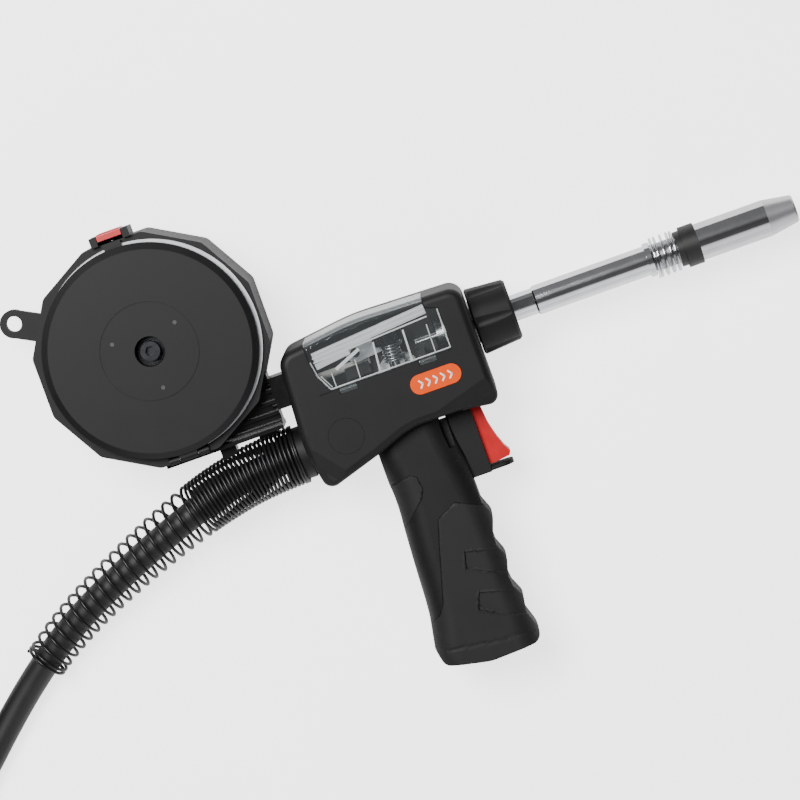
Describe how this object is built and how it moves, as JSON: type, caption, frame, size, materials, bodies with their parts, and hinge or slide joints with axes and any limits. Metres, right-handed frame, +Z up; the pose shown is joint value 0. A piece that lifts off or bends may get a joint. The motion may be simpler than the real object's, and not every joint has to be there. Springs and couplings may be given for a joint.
{
  "type": "mig spool gun",
  "caption": "Pistol-grip MIG spool gun with round wire canister, clear feed cover, straight chrome neck and nozzle, spring-sleeved cable and coiled lead ending in a central connector.",
  "frame": {"origin": "centre of the gun's box (without the cable and connector) on the surface it lies on", "axes": "+X along the barrel to the nozzle, +Y to the gun's top, +Z up, out of the gun's right side"},
  "size_m": [0.777, 0.3836, 0.0627],
  "materials": {
    "housing": "fine spark-eroded texture, satin",
    "grip": "soft overmoulded elastomer, matt",
    "gloss_black": "polished black nylon",
    "insulator": "moulded phenolic, matt",
    "clear": "clear polycarbonate, polished",
    "clear_guide": "natural nylon liner",
    "red": "moulded, semi-gloss",
    "badge": "domed printed label",
    "seal": "silicone, satin",
    "nylon": "moulded nylon",
    "chrome": "polished plate",
    "steel": "zinc plated",
    "wire": "drawn welding wire",
    "aluminium": "die cast",
    "brass": "turned",
    "copper": "turned copper",
    "jacket": "smooth rubber jacket",
    "black_wire": "black spring steel"
  },
  "bodies": {
    "gun": {"body_shell_right": "housing", "body_shell_left": "housing", "grip_front_pad_right": "grip", "grip_front_pad_left": "grip", "grip_rear_pad_right": "grip", "grip_rear_pad_left": "grip", "cover_hinge_pin": "steel", "badge": "badge", "blank_cap": "housing", "housing_screws": "steel", "neck_socket": "brass", "neck_tube": "chrome", "gas_diffuser": "brass", "contact_tip": "copper", "nozzle_spring": "chrome", "canister_shell": "housing", "lid_hinge_pin": "steel", "latch_housing": "housing", "latch_spring": "steel", "hanging_eye": "housing", "spindle": "nylon", "spindle_screw": "steel", "brake_washer": "steel", "brake_spring": "steel", "canister_arm": "gloss_black", "arm_screws": "steel", "feed_plate": "aluminium", "drive_motor": "steel", "tension_screw": "steel", "tension_spring": "steel", "inlet_guide": "clear_guide", "outlet_guide": "brass", "trigger_pin": "steel", "trigger_spring": "steel", "microswitch": "insulator", "cable_collar": "housing", "cable_spring": "black_wire", "cable_tube": "jacket", "cable_coil": "jacket", "cable_tail": "jacket", "connector_body": "insulator", "connector_pins": "brass"},
    "lid": {"canister_lid": "housing", "lid_seal": "seal"},
    "latch_button": {"latch_button": "red"},
    "spool": {"wire_spool": "nylon", "wire_winding": "wire"},
    "drive": {"drive_shaft": "steel", "drive_roll": "steel", "worm_wheel": "nylon"},
    "worm": {"worm": "brass"},
    "pressure_arm": {"pressure_arm": "aluminium"},
    "pressure_roll": {"pressure_roll": "steel"},
    "tension_nut": {"tension_nut": "gloss_black"},
    "trigger": {"trigger": "red"},
    "cover": {"clear_cover": "clear"},
    "front_nut": {"front_nut": "housing"},
    "nozzle": {"nozzle": "chrome", "nozzle_ring": "insulator"},
    "connector_nut": {"connector_nut": "gloss_black"}
  },
  "joints": [
    {"name": "lid_hinge", "type": "hinge", "parent": "gun", "child": "lid", "pos_m": [-0.14155, 0.01675, 0.0553], "axis": [1, 0, 0], "range_deg": [0, 105]},
    {"name": "latch_press", "type": "slide", "parent": "gun", "child": "latch_button", "axis": [0, -1, 0], "range_m": [0, 0.002], "stiffness_N_per_m": 400, "springref_m": -0.002, "deforming": ["latch_spring"]},
    {"name": "spool_spin", "type": "hinge", "parent": "gun", "child": "spool", "pos_m": [-0.14155, 0.07845, 0.026], "axis": [0, 0, 1], "continuous": true},
    {"name": "drive_spin", "type": "hinge", "parent": "gun", "child": "drive", "pos_m": [-0.01775, 0.01915, 0.031], "axis": [0, 0, -1], "continuous": true},
    {"name": "worm_spin", "type": "hinge", "parent": "gun", "child": "worm", "pos_m": [-0.01775, 0.00435, 0.0175], "axis": [1, 0, 0], "continuous": true},
    {"name": "arm_lift", "type": "hinge", "parent": "gun", "child": "pressure_arm", "pos_m": [-0.03725, 0.03855, 0.038], "axis": [0, 0, 1], "range_deg": [0, 2.5], "stiffness_Nm_per_rad": 2, "springref_deg": -5.73, "deforming": ["tension_spring"]},
    {"name": "pressure_roll_spin", "type": "hinge", "parent": "pressure_arm", "child": "pressure_roll", "pos_m": [-0.01775, 0.04045, 0.031], "axis": [0, 0, -1], "continuous": true},
    {"name": "tension_turn", "type": "hinge", "parent": "gun", "child": "tension_nut", "pos_m": [-0.01775, 0.04205, 0.0485], "axis": [0, 1, 0], "range_deg": [-720, 720]},
    {"name": "trigger_pull", "type": "hinge", "parent": "gun", "child": "trigger", "pos_m": [0.01275, -0.00695, 0.031], "axis": [0, 0, -1], "range_deg": [0, 7], "stiffness_Nm_per_rad": 0.3, "springref_deg": -8.59, "deforming": ["trigger_spring"]},
    {"name": "cover_open", "type": "hinge", "parent": "gun", "child": "cover", "pos_m": [-0.02325, 0.02275, 0.06035], "axis": [1, 0, 0], "range_deg": [0, 95]},
    {"name": "front_nut_turn", "type": "hinge", "parent": "gun", "child": "front_nut", "pos_m": [0.04175, 0.03155, 0.031], "axis": [1, 0, 0], "range_deg": [-720, 720]},
    {"name": "nozzle_pull", "type": "slide", "parent": "gun", "child": "nozzle", "axis": [1, 0, 0], "range_m": [0, 0.06]},
    {"name": "connector_nut_turn", "type": "hinge", "parent": "gun", "child": "connector_nut", "pos_m": [-0.53475, 0.16255, 0.0246], "axis": [0, 1, 0], "continuous": true}
  ],
  "couplings": [
    {"joint": "worm_spin", "follows": "drive_spin", "ratio": 30},
    {"joint": "pressure_roll_spin", "follows": "drive_spin", "ratio": -1.4118}
  ]
}
